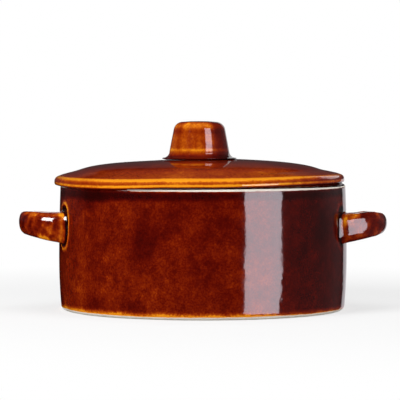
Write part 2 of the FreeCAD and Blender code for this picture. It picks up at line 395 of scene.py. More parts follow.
def add_piece(name, points, faces, depth, bare, material, node, body):
    """Adds a finished mesh that stands for a CAD node and rides on its body."""
    low, high = (np.array(corner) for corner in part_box(node))
    points = np.clip(points, low, high)
    mesh = bpy.data.meshes.new(name)
    mesh.from_pydata(points.tolist(), [], faces)
    for attribute, values in ((GLAZE_DEPTH_AND_SHADE, depth), (BARE_CLAY_AND_PAINTED_LIGHT, bare)):
        layer = mesh.attributes.new(attribute, "FLOAT", "POINT")
        layer.data.foreach_set("value", np.broadcast_to(values, len(points)).astype(np.float32))
    mesh.materials.append(material)
    sound = bmesh.new()
    sound.from_mesh(mesh)
    bmesh.ops.recalc_face_normals(sound, faces=sound.faces)
    sound.to_mesh(mesh)
    sound.free()
    mesh.shade_smooth()
    piece = bpy.data.objects.new(name, mesh)
    bpy.context.scene.collection.objects.link(piece)
    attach(piece, body)
    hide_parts(node)
    return piece


# Finishes


class Nodes:
    """Adds nodes to a node tree, one call for each."""

    def __init__(self, owner):
        owner.use_nodes = True
        self.tree = owner.node_tree
        self.tree.nodes.clear()

    def add(self, kind, inputs=(), **settings):
        node = self.tree.nodes.new(f"ShaderNode{kind}")
        for name, value in settings.items():
            setattr(node, name, value)
        for socket, value in dict(inputs).items():
            if isinstance(value, bpy.types.NodeSocket):
                self.tree.links.new(value, node.inputs[socket])
            else:
                node.inputs[socket].default_value = value
        return node

    def maths(self, operation, *values):
        return self.add("Math", enumerate(values), operation=operation).outputs[0]

    def spread(self, value, start, finish, low=0.0, high=1.0, kind="SMOOTHSTEP"):
        inputs = {"Value": value, "From Min": start, "From Max": finish, "To Min": low, "To Max": high}
        return self.add("MapRange", inputs, interpolation_type=kind).outputs["Result"]

    def noise(self, place, size, detail=3.0, roughness=0.5, distortion=0.0):
        """Noise whose blots are about a size across, in metres."""
        inputs = {"Vector": place, "Scale": 1 / size, "Detail": detail}
        inputs.update({"Roughness": roughness, "Distortion": distortion})
        return self.add("TexNoise", inputs).outputs["Fac"]

    def mix(self, part, first, second):
        node = self.add("Mix", {0: part, 6: first, 7: second}, data_type="RGBA")
        return node.outputs[2]


def treacle_glaze(name, glaze, mottle, grain):
    """Amber glaze over pale clay, clear where it is thin and nearly black where it pools.

    The mesh says how deep the glaze lies, with painted shade as extra depth, and where the clay is bare, with
    a painted highlight among it. Mottle and grain say how much the depth varies, in blots of about 15 mm and
    in fine grain.
    """
    material = bpy.data.materials.new(name)
    nodes = Nodes(material)
    place = nodes.add("TexCoord").outputs["Object"]
    depth = nodes.add("Attribute", attribute_name=GLAZE_DEPTH_AND_SHADE).outputs["Fac"]
    bare = nodes.add("Attribute", attribute_name=BARE_CLAY_AND_PAINTED_LIGHT).outputs["Fac"]

    # Glaze runs and gathers, so its depth is uneven at several sizes
    for size, amount, detail, distortion in (
        (0.034, 1.3 * mottle, 2.0, 0.8),
        (0.012, 1.1 * mottle, 4.0, 0.6),
        (0.0045, 0.9 * mottle, 3.0, 0.3),
        (0.0014, grain, 2.0, 0.0),
    ):
        noise = nodes.noise(place, size, detail=detail, distortion=distortion)
        depth = nodes.maths("MULTIPLY_ADD", noise, amount, nodes.maths("SUBTRACT", depth, amount / 2))

    # The glaze line wanders, and the glaze thins just before it
    wander = nodes.noise(place, 0.006, detail=4.0, roughness=0.6)
    wandering = 0.0009
    bare = nodes.maths("MULTIPLY_ADD", wander, wandering, nodes.maths("SUBTRACT", bare, wandering / 2))
    thinning = nodes.spread(bare, -0.0011, 0.0, 0.0, 1.1)
    depth = nodes.maths("SUBTRACT", depth, thinning)
    clay_part = nodes.spread(bare, -0.00012, 0.00012)

    colours = nodes.add("ValToRGB", {"Fac": nodes.maths("DIVIDE", depth, DEEPEST)})
    steps = colours.color_ramp.elements
    for step in range(DEPTH_STEPS + 1):
        part = step / DEPTH_STEPS
        if step == 0:
            stop = steps[0]
        elif step == DEPTH_STEPS:
            stop = steps[-1]
        else:
            stop = steps.new(part)
        colour = [
            thin * math.exp(-soaked * part * DEEPEST) + deep
            for thin, soaked, deep in zip(glaze.thin, glaze.soaks_up, glaze.deep)
        ]
        stop.color = (*colour, 1.0)

    # The bare clay is sandy and a little stained
    sand = nodes.noise(place, 0.0007, detail=2.0)
    sandy = nodes.spread(sand, 0.62, 0.72, 0.0, 0.6)
    stain = nodes.spread(nodes.noise(place, 0.012), 0.45, 0.75, 0.0, 0.12)
    clay = nodes.mix(nodes.maths("MAXIMUM", sandy, stain), (*glaze.clay, 1.0), (*glaze.clay_speck, 1.0))

    colour = nodes.mix(clay_part, colours.outputs["Color"], clay)

    # The glaze's polish varies, and the clay is matt
    polish = nodes.spread(nodes.noise(place, 0.008), 0.3, 0.7, 0.8 * glaze.gloss, 1.2 * glaze.gloss)
    roughness = nodes.maths("MULTIPLY_ADD", clay_part, 0.7, polish)

    # The glaze has set in waves, and the clay is gritty
    slow = nodes.noise(place, 0.030, detail=1.0)
    quick = nodes.noise(place, 0.009, detail=2.0)
    waves = nodes.maths("MULTIPLY_ADD", quick, 0.42, slow)
    surface = nodes.add("Bump", {"Strength": 1.0, "Distance": glaze.peel, "Height": waves})
    grit = nodes.maths("MULTIPLY", nodes.noise(place, 0.0012, detail=4.0), clay_part)
    surface = nodes.add(
        "Bump", {"Strength": 1.0, "Distance": 0.0002, "Height": grit, "Normal": surface.outputs[0]}
    )

    shader = nodes.add(
        "BsdfPrincipled",
        {"Base Color": colour, "Roughness": roughness, "Normal": surface.outputs[0], "IOR": 1.5},
    )
    nodes.add("OutputMaterial", {"Surface": shader.outputs[0]})
    return material


# The pot

# Dark clouds in the glaze: degrees to the right of the front, height, half width in degrees, half
# height, and how much deeper the glaze is there
POT_CLOUDS = (
    (-23, 0.054, 6, 0.017, 0.60),
    (-15, 0.071, 7, 0.010, 0.35),
    (-47, 0.012, 4, 0.006, 0.75),
    (-29, 0.010, 4, 0.005, 0.65),
    (-20, 0.036, 3, 0.004, 0.45),
    (12, 0.066, 8, 0.016, 0.30),
    (44, 0.052, 14, 0.030, 0.30),
    (54, 0.070, 7, 0.014, 0.60),
    (-52, 0.083, 6, 0.008, 0.45),
    (75, 0.040, 12, 0.030, 0.40),
    (135, 0.060, 12, 0.018, 0.50),
    (172, 0.030, 9, 0.014, 0.50),
    (-150, 0.068, 10, 0.012, 0.45),
    (-118, 0.026, 8, 0.016, 0.55),
)


def barrel(height, belly, belly_height, low, high):
    """Radius of a shallow barrel at a height. Low and high are (radius, height) of its two ends."""
    end_radius, end_height = low if height < belly_height else high
    part = (height - belly_height) / (end_height - belly_height)
    return belly - (belly - end_radius) * part**2


def outer_wall(pot, height):
    """Radius of the outer wall at a height."""
    low, high = (pot.base_radius, 0.0), (pot.rim_radius, pot.height)
    return barrel(height, pot.belly_radius, pot.belly_height, low, high)


def pot_outline(pot):
    """Half section of the pot, from the middle of its floor round the rim to the middle of its underside."""
    inner_low = (pot.base_radius - pot.wall, pot.floor)
    inner_high = (pot.rim_radius - pot.wall, pot.height)
    belly = pot.belly_radius - pot.wall
    below_rim = pot.height - 0.006
    inner = [
        (barrel(height, belly, pot.belly_height, inner_low, inner_high), height, 0.0)
        for height in np.linspace(pot.floor + 1.4 * pot.floor_round, below_rim, 14)
    ]
    outer = [
        (outer_wall(pot, height), height, 0.0) for height in np.linspace(below_rim, 2 * pot.base_round, 24)
    ]
    foot_inside = pot.base_radius - pot.base_round - pot.foot_width
    return rounded(
        [
            (0.0, pot.floor, 0.0),
            (*inner_low, pot.floor_round),
            *inner,
            (*inner_high, pot.rim_inner_round),
            (pot.rim_radius, pot.height, pot.rim_outer_round),
            *outer,
            (pot.base_radius, 0.0, pot.base_round),
            (foot_inside, 0.0, 0.0005),
            (foot_inside, pot.foot_recess, 0.0005),
            (0.0, pot.foot_recess, 0.0),
        ],
        ROUND_SPACING,
    )


# The low ring round each handle's root: half its width on the right and on the left, half its
# height, how far its middle lies below the strap's top, how square it is, and how far it stands
# out of the wall on the left
RING_ACROSS_RIGHT = 0.0134
RING_ACROSS_LEFT = 0.0113
RING_UP = 0.0165
RING_DROP = 0.0107
RING_SQUARENESS = 2.4
RING_RELIEF = 0.00018


def on_outside(pot, radius):
    """Whether the pot's corners at these distances from the axis lie on its outside."""
    return radius > pot.base_radius - pot.wall / 2


def root_distance(pot, handles, points):
    """Distance of points from the nearest handle root, where 1 is the low ring round it."""
    reach = handles.reach - handles.thickness / 2
    half_width = handles.half_width - handles.thickness / 2
    quarter = np.linspace(0, math.pi / 2, 400)
    along = handles.centre + reach * np.cos(quarter)
    aside = half_width * np.sin(quarter)
    meets = np.argmin(np.abs(np.hypot(along, aside) - pot.belly_radius))
    root_turn = math.atan2(aside[meets], along[meets])
    turn = np.arctan2(np.abs(points[:, 1]), np.abs(points[:, 0]))
    across = np.where(points[:, 0] > 0, RING_ACROSS_RIGHT, RING_ACROSS_LEFT)
    around = np.abs((turn - root_turn) * pot.belly_radius / across)
    upright = np.abs((points[:, 2] - (handles.top - RING_DROP)) / RING_UP)
    return (around**RING_SQUARENESS + upright**RING_SQUARENESS) ** (1 / RING_SQUARENESS)


def with_ring(pot, handles, points):
    """The pot's corners, moved so that the ring round the left handle's roots stands out."""
    radius, _ = polar(points)
    raised = on_outside(pot, radius) & (points[:, 0] < 0)
    lift = np.where(raised, bump_at(root_distance(pot, handles, points), 1.0, 0.10) * RING_RELIEF, 0)
    moved = points.copy()
    moved[:, :2] *= (1 + lift / np.maximum(radius, 0.01))[:, None]
    return moved


def lid_shadow_edge(pot, radius, height):
    """1 on the outer edge of the rim's top, where painted shade stands for the shadow of the lid's overhang.
    """
    top = ramp(height, pot.height - 0.0010, pot.height - 0.0006)
    return top * ramp(radius, pot.rim_radius - 0.0052, pot.rim_radius - 0.0046)


def pot_depth(pot, handles, points):
    """Glaze depth of the pot's corners, with painted shade added as extra depth."""
    radius, angle = polar(points)
    height = points[:, 2]
    outside = on_outside(pot, radius)
    depth = np.full(len(points), pot.glaze)

    # A dark roll of glaze gathers under the rim, deepest at the front left
    below_rim = pot.height - height
    front_left = -0.75
    roll = 0.0062 + ripple(angle, 0.0006, seed=11) + 0.0022 * bump_at(angle, front_left, 0.35)
    gathered = between(below_rim, (0.0030, 0.0042), (roll, roll + 0.0042))
    depth += np.where(outside, gathered * (1.15 + 0.7 * bump_at(angle, front_left, 0.4)), 0)

    # Painted shade: it is made deeper on the pot's right, the side away from the key light
    depth += np.where(outside, 0.85 * between(angle, (0.30, 0.72), (1.9, 2.7)), 0)

    # It breaks thin over the edge of the base, and is made a little lighter on the way down to it
    base_break = 1 - ramp(height, 0.0032, 0.0064)
    depth -= np.where(outside, base_break * 1.55 + 0.30 * (1 - ramp(height, 0.008, 0.055)), 0)

    # Dark clouds where it ran together in the kiln
    for turn, level, width, rise, amount in POT_CLOUDS:
        cloud = bump_at(angle, math.radians(turn), math.radians(width)) * bump_at(height, level, rise)
        depth += np.where(outside, amount * cloud, 0)

    # Round a handle's root it is made darkest in the crease and lighter over the ring, most on the left
    near = root_distance(pot, handles, points)
    crease = ramp(-near, -0.96, -0.86)
    ring = bump_at(near, 1.05, 0.11)
    thinned = np.where(points[:, 0] > 0, 1.15, 1.95)
    depth += np.where(outside, crease * 3.6 - ring * thinned * (1 - crease), 0)

    # Inside, it lies deeper in the corner of the floor
    corner = bump_at(radius, pot.base_radius - pot.wall, 0.010) * bump_at(height, pot.floor, 0.012)
    depth += np.where(outside, 0, 0.9 * corner - 0.3)
    # Painted shade: deeper glaze on the rim's outer top edge stands for the lid's shadow
    return depth + 2.4 * lid_shadow_edge(pot, radius, height)


def pot_bare(pot, points):
    """How far inside bare clay the pot's corners are: its rim and its foot are wiped clean, a thin line on
    the rim is painted highlight, and painted shade keeps the rim's top edge glazed.
    """
    radius, angle = polar(points)
    height = points[:, 2]

    # At the left the rim's bare band is mostly covered, and at the right the bare clay reaches less far down
    covered_at_left = 0.0045 * between(-angle, (0.50, 0.60), (2.2, 2.6))
    short = 0.0006 * bump_at(angle, 1.25, 0.5)
    rim_line = pot.height - pot.bare_rim + ripple(angle, 0.00018, seed=5) + covered_at_left + short
    # Painted shade: the rim's outer top edge is kept glazed and dark, for the lid's shadow
    rim = height - rim_line - 0.006 * lid_shadow_edge(pot, radius, height)

    # Painted highlight: a thin line of bare clay on the rim's edge at the far left stands for a glint along
    # it
    line_middle, half_line = pot.height - 0.0017, 0.00038
    line = half_line - np.abs(height - line_middle) - 0.002 * (1 - bump_at(angle, -1.35, 0.34))
    rim = np.maximum(rim, line)
    inner_line = pot.height - 0.002 - pot.wall * 0.1
    rim = np.where(on_outside(pot, radius), rim, np.minimum(rim, height - inner_line))

    foot_line = pot.bare_foot + ripple(angle, 0.00012, seed=6)
    under = radius < pot.base_radius - 0.3 * pot.base_round
    foot = np.where(under, ALL_BARE, foot_line - height)
    foot = np.where(height < pot.floor - 0.002, foot, NONE_BARE)
    return np.maximum(rim, foot)


class BEANPOT_OT_pot(bpy.types.Operator):
    """Adds the thrown pot, glazed inside and out, with bare clay at its rim and foot"""

    bl_idname = "bean_pot.add_pot"
    bl_label = "Add Pot"

    def execute(self, context):
        settings = context.scene.bean_pot
        pot, handles = settings.pot, settings.handles
        points, faces = turned(pot_outline(pot), ROUND_STEPS)
        depth, bare = pot_depth(pot, handles, points), pot_bare(pot, points)
        points = with_ring(pot, handles, points)
        points = hand_made(points, size=0.070, reach=0.00022, seed=3)
        material = treacle_glaze("treacle_glaze_pot", settings.glaze, mottle=1.25, grain=1.7)
        add_piece("glazed_pot", points, faces, depth, bare, material, "pot_body", "pot")
        return {"FINISHED"}


# The handles

# What sets each handle apart, as both were shaped by hand: the side that it is on, how much softer
# than square its section gets at the tip above and below, how far its top drops at the root, where
# that drop fades out, how far it drops at the tip, how much deeper its glaze is, which on the right
# handle is painted shade of the side away from the key light, and the seed of its dents
Hand = namedtuple("Hand", "side soft_top soft_bottom root_drop root_drop_fades tip_drop glaze seed")
RIGHT_HAND = Hand(1, 0.80, 0.70, 0.0014, (0.112, 0.128), 0.0015, 0.45, 21)
LEFT_HAND = Hand(-1, 0.15, 0.60, 0.0006, (0.116, 0.135), 0.0, 0.0, 22)


def strap_points(handles, hand, belly, turn, around):
    """Points on a strap handle: a turn round its oval from the tip, and an angle round its section."""
    half_thickness = handles.thickness / 2
    reach = handles.reach - half_thickness
    half_width = handles.half_width - half_thickness
    along = handles.centre + reach * np.cos(turn)
    aside = half_width * np.sin(turn)
    out_x, out_y = half_width * np.cos(turn), reach * np.sin(turn)
    size = np.hypot(out_x, out_y)
    out_x, out_y = out_x / size, out_y / size
    tipward = (along - handles.centre) / handles.reach
    height = (1 - tipward) * handles.height_at_centre + tipward * handles.height_at_tip

    # The section is between an oval and a rectangle, and softer at the tip
    rise = np.sin(around)
    soft = np.where(rise > 0, hand.soft_top, hand.soft_bottom) * ramp(tipward, 0.45, 0.95)
    power = 2 / (handles.squareness - soft)
    share_out = np.sign(np.cos(around)) * np.abs(np.cos(around)) ** power
    share_up = np.sign(rise) * np.abs(rise) ** power

    # The root spreads where it comes near the wall
    out = share_out * half_thickness
    gap = np.hypot(along + out_x * out, aside + out_y * out) - belly
    flare = handles.flare * np.clip(1 - gap / handles.flare_reach, 0, 1.2) ** 2
    across = share_out * (half_thickness + flare)
    up = share_up * (height / 2 + flare)

    # The top drops at the root and at the tip, and the far side sags
    root_drop = hand.root_drop * (1 - ramp(along, *hand.root_drop_fades))
    tip_drop = hand.tip_drop * ramp(tipward, 0.62, 1.0)
    up -= (root_drop + tip_drop) * (0.5 + 0.5 * np.clip(share_up, -1, 1))
    middle = handles.top - height / 2 - handles.sag * ramp(aside, 0.0, half_width)
    return np.stack((along + out_x * across, aside + out_y * across, middle + up), axis=-1)


def strap_end(handles, hand, pot, around, sunk):
    """The turn at which each line along the strap goes under the pot's wall."""
    start = np.full_like(around, math.radians(45))
    finish = np.full_like(around, math.radians(100))
    walls = np.vectorize(lambda height: outer_wall(pot, height))
    halvings = 30
    for _ in range(halvings):
        middle = (start + finish) / 2
        points = strap_points(handles, hand, pot.belly_radius, middle, around)
        inside = np.hypot(points[:, 0], points[:, 1]) < walls(points[:, 2]) - sunk
        finish = np.where(inside, middle, finish)
        start = np.where(inside, start, middle)
    return finish


def strap_surface(handles, hand, pot, sections, sides):
    """Corners and faces of a strap handle, and the way out of it at each corner.

    It ends just under the pot's wall, with both ends closed.
    """
    around = np.linspace(0, 2 * math.pi, sides, endpoint=False)
    end = strap_end(handles, hand, pot, around, sunk=0.0008)

    # The sections lie closer together towards the roots
    shares = np.sin(np.linspace(-math.pi / 2, math.pi / 2, sections))
    shares = 0.5 * shares + 0.5 * np.linspace(-1, 1, sections)
    grid = np.array([strap_points(handles, hand, pot.belly_radius, share * end, around) for share in shares])
    points = list(map(tuple, grid.reshape(-1, 3)))
    faces = []
    for row in range(sections - 1):
        faces.extend(band(row * sides, (row + 1) * sides, sides))
    for row in (0, sections - 1):
        points.append(tuple(grid[row].mean(axis=0)))
        faces.extend(cap(row * sides, sides, len(points) - 1))
    centres = np.repeat(grid.mean(axis=1), sides, axis=0)
    outward = grid.reshape(-1, 3) - centres
    outward /= np.linalg.norm(outward, axis=1)[:, None]
    return np.array(points), faces, np.concatenate((outward, np.zeros((2, 3))))


def pressed(points, seed):
    """How proud each point stands between the places that the maker's fingers pressed, from 0 to 1."""
    draw = np.random.default_rng(seed)
    field = np.zeros(len(points))
    waves = 5
    for size, part in ((0.026, 0.85), (0.013, 0.80), (0.0075, 0.45)):
        for _ in range(waves):
            heading = draw.normal(size=3)
            heading /= np.linalg.norm(heading)
            phase = points @ heading * 2 * math.pi / size + draw.uniform(0, 2 * math.pi)
            field += part * np.sin(phase) / waves
    return ramp(field, -0.15, 0.80)


def strap_glaze(handles, hand, pot, points, proud):
    """Glaze depth of a strap handle, with painted shade on the right one: thin over its long edges and
    deepest where it meets the wall.
    """
    # The right handle's extra depth is painted shade
    depth = np.full(len(points), handles.glaze + hand.glaze)
    height = points[:, 2]

    # It runs off the proud places
    depth += 0.25 - 1.35 * proud

    # It is made lighter over the spread of the root and darkest where the root meets the wall
    away = np.hypot(points[:, 0], points[:, 1]) - pot.belly_radius
    depth -= 1.0 * bump_at(away, 0.0034, 0.0014)
    depth += 3.8 * (1 - ramp(away, 0.0002, 0.0012))

    # It is deeper at the tip, and thin along the strap's upper and lower edges
    tipward = (points[:, 0] - handles.centre) / handles.reach
    depth += 0.55 * ramp(tipward, 0.80, 1.0)
    strap_height = (1 - tipward) * handles.height_at_centre + tipward * handles.height_at_tip
    depth -= 0.45 * bump_at(height, handles.top - 0.0020, 0.0016)
    depth -= 0.35 * bump_at(height, handles.top - strap_height + 0.0022, 0.0018)
    return depth


class BEANPOT_OT_handles(bpy.types.Operator):
    """Adds the two strap handles, luted to the pot's wall"""

    bl_idname = "bean_pot.add_handles"
    bl_label = "Add Handles"

    def execute(self, context):
        settings = context.scene.bean_pot
        handles, pot = settings.handles, settings.pot
        material = treacle_glaze("treacle_glaze_handles", settings.glaze, mottle=2.3, grain=1.2)
        dent = 0.00022
        for name, node, hand in (
            ("glazed_handle_right", "handle_right", RIGHT_HAND),
            ("glazed_handle_left", "handle_left", LEFT_HAND),
        ):
            shape, faces, outward = strap_surface(handles, hand, pot, sections=200, sides=80)
            radius, _ = polar(shape)
            free = ramp(radius, pot.belly_radius - 0.001, pot.belly_radius + 0.004)
            proud = pressed(shape, hand.seed)
            depth = strap_glaze(handles, hand, pot, shape, proud)
            points = (shape + outward * ((proud - 0.5) * free * dent)[:, None]) * (hand.side, 1, 1)
            add_piece(name, points, faces, depth, NONE_BARE, material, node, "pot")
        return {"FINISHED"}


# The lid

# Top of the lid from the knob to its edge: distance from the axis and height above the seat
LID_TOP = (
    (0.0285, 0.01870),
    (0.0450, 0.01790),
    (0.0600, 0.01690),
    (0.0700, 0.01590),
    (0.0780, 0.01478),
    (0.0840, 0.01365),
    (0.0890, 0.01233),
    (0.0940, 0.01070),
    (0.1000, 0.00915),
    (0.1055, 0.00760),
)

# How far the lid's edge has warped: degrees to the right of the front, and millimetres up
LID_WARP = (
    (-180, 0.1),
    (-120, -0.5),
    (-75, -1.1),
    (-64, -1.6),
    (-54, -1.95),
    (-44, -2.05),
    (-34, -1.85),
    (-24, -1.25),
    (-14, -0.6),
    (5, -0.45),
    (25, 0.3),
    (42, 0.95),
    (57, 1.2),
    (90, 1.1),
    (140, 0.5),
    (180, 0.1),
)

# How much less its upper corner has sagged than its lower one, as a share
LID_CORNER_HOLDS = 0.3

# How far the left of the dome has sunk
LID_LEAN = 0.0006


def lid_outline(lid):
    """Half section of the lid as a closed outline, from the vent over the dome and back under it."""
    top = smooth_through(LID_TOP, 6)
    flange_inside = lid.flange_radius - lid.flange_thickness
    under = [
        (across, up - lid.thickness, 0.0) for across, up in reversed(top) if across < flange_inside - 0.008
    ]
    return rounded(
        [
            (lid.vent_radius, lid.crown, 0.0),
            *((across, up, 0.0) for across, up in top),
            (lid.radius, lid.edge_height, lid.edge_top_round),
            (lid.radius, lid.edge_lift, lid.edge_bottom_round),
            (lid.seat_radius, 0.0, 0.0004),
            (lid.flange_radius, 0.0, 0.0003),
            (lid.flange_radius, -lid.flange_depth, 0.002),
            (flange_inside, -lid.flange_depth, 0.002),
            (flange_inside, under[0][1] - 0.002, 0.004),
            *under,
            (lid.vent_radius, lid.crown - lid.thickness, 0.0),
        ],
        ROUND_SPACING,
        closed=True,
    )


def lid_warp(lid, points):
    """How much the fired edge rises or sags: down at the left and the front, up at the right."""
    radius, angle = polar(points)
    turns, rises = zip(*LID_WARP)
    rise = np.interp(np.degrees(angle), turns, rises) * MM
    upper = ramp(points[:, 2], lid.edge_lift, lid.edge_height)
    rise *= 1 - LID_CORNER_HOLDS * upper * (rise < 0)
    from_radius = lid.seat_radius - 0.014 * upper
    edge = np.clip((radius - from_radius) / (lid.radius - 0.0012 - from_radius), 0, 1)
    dome = ramp(points[:, 2], lid.edge_height, lid.edge_height + 0.006)
    return edge * (points[:, 2] > 0) * rise - LID_LEAN * dome * ramp(-points[:, 0], 0.0, 0.040)


def lid_glaze(lid, points):
    """Glaze depth, with painted shade added as extra depth, and bare clay of the lid's corners, which are
    still centred on the axis and the seat.
    """
    radius, angle = polar(points)
    height = points[:, 2]
    depth = np.full(len(points), lid.glaze)

    # On top it is deeper on the dome than on the slope, thin along the upper and the lower corner of the
    # edge, and dark below the lower one, which is both a drip of pooled glaze and painted shade on the
    # downward face
    upper = height > lid.edge_lift - 0.0002
    slope = ramp(radius, 0.078, 0.100)
    rolled = ramp(radius, lid.radius - 0.0055, lid.radius - 0.0035)
    outmost = ramp(radius, lid.radius - 0.0035, lid.radius - 0.0015)
    top_edge = bump_at(height, lid.edge_height + 0.0012, 0.0017) * rolled
    low_edge = bump_at(height, lid.edge_lift + 0.0016, 0.0007) * outmost
    drip_and_shade = 1 - ramp(height, lid.edge_lift + 0.0001, lid.edge_lift + 0.0006)
    on_top = 0.46 - 0.62 * slope - 1.45 * top_edge - 1.75 * low_edge + 1.2 * drip_and_shade
    depth += np.where(upper, on_top, 0.35)

    # It is deeper at the left, and deeper towards the right as painted shade of the side away from the key
    # light, where the edge darkens sooner than the dome
    behind_right = (1.9, 2.7)
    depth += 0.30 * bump_at(angle, -0.8, 0.45) + 0.55 * bump_at(angle, -1.3, 0.35)
    depth += 0.55 * between(angle, (0.75, 1.05), behind_right)
    depth += 0.45 * rolled * between(angle, (0.20, 0.75), behind_right)

    # It pools round the knob's foot
    depth += 0.3 * bump_at(radius, 0.0285, 0.0016) * upper

    # The seat and the outside of the flange are wiped clean
    seat = np.minimum(0.0006 - height, lid.seat_radius + 0.0002 - radius)
    bare = np.where(radius > lid.flange_radius - 0.5 * lid.flange_thickness, seat, NONE_BARE)
    return depth, bare + ripple(angle, 0.0001, seed=8)


class BEANPOT_OT_lid(bpy.types.Operator):
    """Adds the loose lid, with the bare seat and the flange that keeps it on the rim"""

    bl_idname = "bean_pot.add_lid"
    bl_label = "Add Lid"

    def execute(self, context):
        settings = context.scene.bean_pot
        lid = settings.lid
        points, faces = turned(lid_outline(lid), ROUND_STEPS, closed=True)
        depth, bare = lid_glaze(lid, points)
        points[:, 2] += lid_warp(lid, points)
        points += (lid.middle, 0.0, lid.seat)
        points = hand_made(points, size=0.090, reach=0.00018, seed=7)
        material = treacle_glaze("treacle_glaze_lid", settings.glaze, mottle=0.62, grain=1.2)
        add_piece("glazed_lid", points, faces, depth, bare, material, "lid", "lid")
        return {"FINISHED"}


# The knob


def knob_outline(knob):
    """Half section of the hollow knob, from the top of its hollow round its foot to its top."""
    foot_width = knob.base_radius - knob.waist_radius
    rise = knob.waist_height - knob.base_lip
    foot = []
    for angle in np.linspace(0, math.pi / 2, 12):
        across = knob.waist_radius + foot_width * (1 - math.sin(angle))
        foot.append((across, knob.base_lip + rise * (1 - math.cos(angle)), 0.0))
    edge_height = knob.height - knob.edge_drop
    return rounded(
        [
            (0.0, knob.hollow_height, 0.0),
            (knob.hollow_radius, knob.hollow_height, knob.hollow_round),
            (knob.hollow_radius, 0.0, 0.0),
            (knob.base_radius - knob.base_undercut, 0.0, 0.0),
            (knob.base_radius, knob.base_lip * 0.6, 0.0),
            *foot,
            (knob.edge_radius, edge_height, knob.edge_round),
            (knob.edge_radius * 0.35, knob.height - 0.12 * knob.edge_drop, 0.0),
            (0.0, knob.height, 0.0),
        ],
        KNOB_SPACING,
    )


def knob_glaze(knob, points):
    """Glaze depth, with painted shade added as extra depth, and bare clay of the knob's corners, which still
    stand on the crown.
    """
    radius, angle = polar(points)
    height = points[:, 2]
    depth = np.full(len(points), knob.glaze)

    # It runs down in streaks and pools in the foot
    streaks = ripple(angle, 0.13, seed=12, slowest=5, quickest=30)
    depth += streaks * ramp(height, 0.004, 0.010)
    depth += 1.6 * (1 - ramp(height, 0.0012, knob.waist_height - 0.0004))

    # It breaks thin above the waist and at the upper edge, with a darker ring below that edge
    depth -= 0.75 * bump_at(height, knob.waist_height + 0.0014, 0.0013)
    depth -= 0.45 * bump_at(height, knob.height - 0.0038, 0.0020)
    depth += 0.35 * bump_at(height, knob.height - 0.0082, 0.0018)

    # It is deeper on the top, and deeper on the right as painted shade of the side away from the key light
    depth += 0.35 * ramp(height, knob.height - 0.002, knob.height)
    depth += 1.15 * between(angle, (0.30, 0.80), (2.2, 2.8))

    # The hollow and the face that is luted to the lid are bare
    hollow = (radius < knob.hollow_radius + 0.0005) & (height < knob.hollow_height + 0.0005)
    bare = np.where(hollow | (height < 0.0001), ALL_BARE, NONE_BARE)
    return depth, bare


class BEANPOT_OT_knob(bpy.types.Operator):
    """Adds the hollow knob, luted to the lid's crown over its vent"""

    bl_idname = "bean_pot.add_knob"
    bl_label = "Add Knob"

    def execute(self, context):
        settings = context.scene.bean_pot
        lid, knob = settings.lid, settings.knob
        points, faces = turned(knob_outline(knob), KNOB_STEPS)
        depth, bare = knob_glaze(knob, points)
        points += (lid.middle, 0.0, lid.seat + lid.crown)
        points = hand_made(points, size=0.030, reach=0.00020, seed=9)
        material = treacle_glaze("treacle_glaze_knob", settings.glaze, mottle=0.95, grain=0.9)
        add_piece("glazed_knob", points, faces, depth, bare, material, "lid_knob", "lid")
        return {"FINISHED"}


# The studio

# The walls that the glaze mirrors: from bearing to bearing, where 0 is behind the pot and more is
# further right, from height to height, as the sine of the angle above level, each with how soft
# its ends are, and how bright the wall is
STUDIO_WALLS = (
    # A dim wall at the right
    ((0.60, 2.10, 0.25), (-0.60, 0.50, 0.20), 0.09),
    # A low card behind the pot
    ((-0.06, 0.48, 0.015), (-0.30, 0.010, 0.008), 0.80),
    # A dimmer wall behind
    ((-1.20, 1.20, 0.20), (-0.02, 0.35, 0.02), 0.04),
)
STUDIO_CEILING = 0.03
STUDIO_DARK = 0.002

# The strip box as each piece mirrors it: degrees to the right of the camera, heights of its foot and
# its top, width, and the pieces
STRIPS = (
    ("strip_box", 46.6, -0.30, 0.58, 0.635, ("glazed_pot", "glazed_handle_left")),
    ("strip_box_for_knob", 39.5, 0.46, 0.95, 0.60, ("glazed_knob",)),
    ("strip_box_for_handle", 54.8, -0.30, 0.66, 0.71, ("glazed_handle_right",)),
    ("strip_box_below_lid", 46.6, -0.12, 0.135, 0.635, ("glazed_lid",)),
)
STRIP_DISTANCE = 1.2
STRIP_COLOUR = (1.0, 0.91, 1.0)

# What the lamps that light the pot face
LIT_MIDDLE = (0.0, 0.0, 0.06)


def pale_floor(stage):
    """A round floor, white to the camera apart from the pot's soft shadow."""
    bpy.ops.mesh.primitive_circle_add(vertices=128, radius=stage.floor_radius, fill_type="NGON")
    floor = bpy.context.object
    floor.name = "studio_floor"
    floor.visible_glossy = False
    material = bpy.data.materials.new("pale_floor")
    nodes = Nodes(material)
    place = nodes.add("TexCoord").outputs["Object"]
    distance = nodes.add("VectorMath", {0: place}, operation="LENGTH").outputs["Value"]
    seen = nodes.add("LightPath").outputs["Is Camera Ray"]
    lit = nodes.add("BsdfDiffuse", {"Color": (0.9, 0.9, 0.9, 1.0)})
    glowing = nodes.add("Emission", {"Color": (1.0, 1.0, 1.0, 1.0), "Strength": 1.0})
    far = nodes.spread(distance, 0.20, 0.55, 0.70, 1.0)
    to_camera = nodes.add("MixShader", {0: far, 1: lit.outputs[0], 2: glowing.outputs[0]})
    bounced = nodes.add("BsdfDiffuse", {"Color": (0.60, 0.60, 0.60, 1.0)})
    shader = nodes.add("MixShader", {0: seen, 1: bounced.outputs[0], 2: to_camera.outputs[0]})
    nodes.add("OutputMaterial", {"Surface": shader.outputs[0]})
    floor.data.materials.append(material)
    return floor


